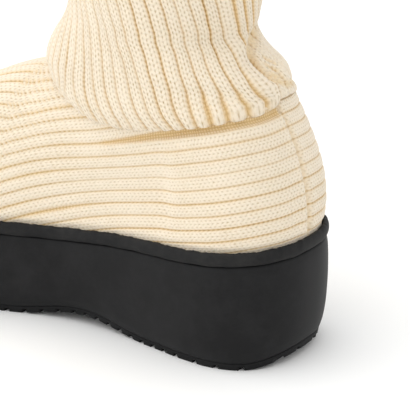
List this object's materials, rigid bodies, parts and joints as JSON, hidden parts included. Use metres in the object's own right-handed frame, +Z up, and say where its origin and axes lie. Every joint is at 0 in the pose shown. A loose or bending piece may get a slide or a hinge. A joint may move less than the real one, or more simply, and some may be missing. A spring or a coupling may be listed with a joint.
{
  "type": "sock boot",
  "caption": "Left sock boot: a ribbed knit foot and slack rib-knit leg tube, open at the top, on a thick black platform sole with a rubber rand and barred tread.",
  "frame": {"origin": "middle of the bounding box's base, on the floor under the sole", "axes": "+X from the heel to the toe, +Y to the outer side of the foot, +Z up"},
  "size_m": [0.268, 0.0984, 0.2351],
  "materials": {
    "moulded_rubber": "matte",
    "lining_cloth": "matte",
    "rib_knit": "matte"
  },
  "bodies": {
    "root": {"outsole": "moulded_rubber", "midsole": "moulded_rubber", "rand": "moulded_rubber", "insole": "lining_cloth", "upper": "rib_knit", "shaft": "rib_knit"}
  },
  "joints": []
}
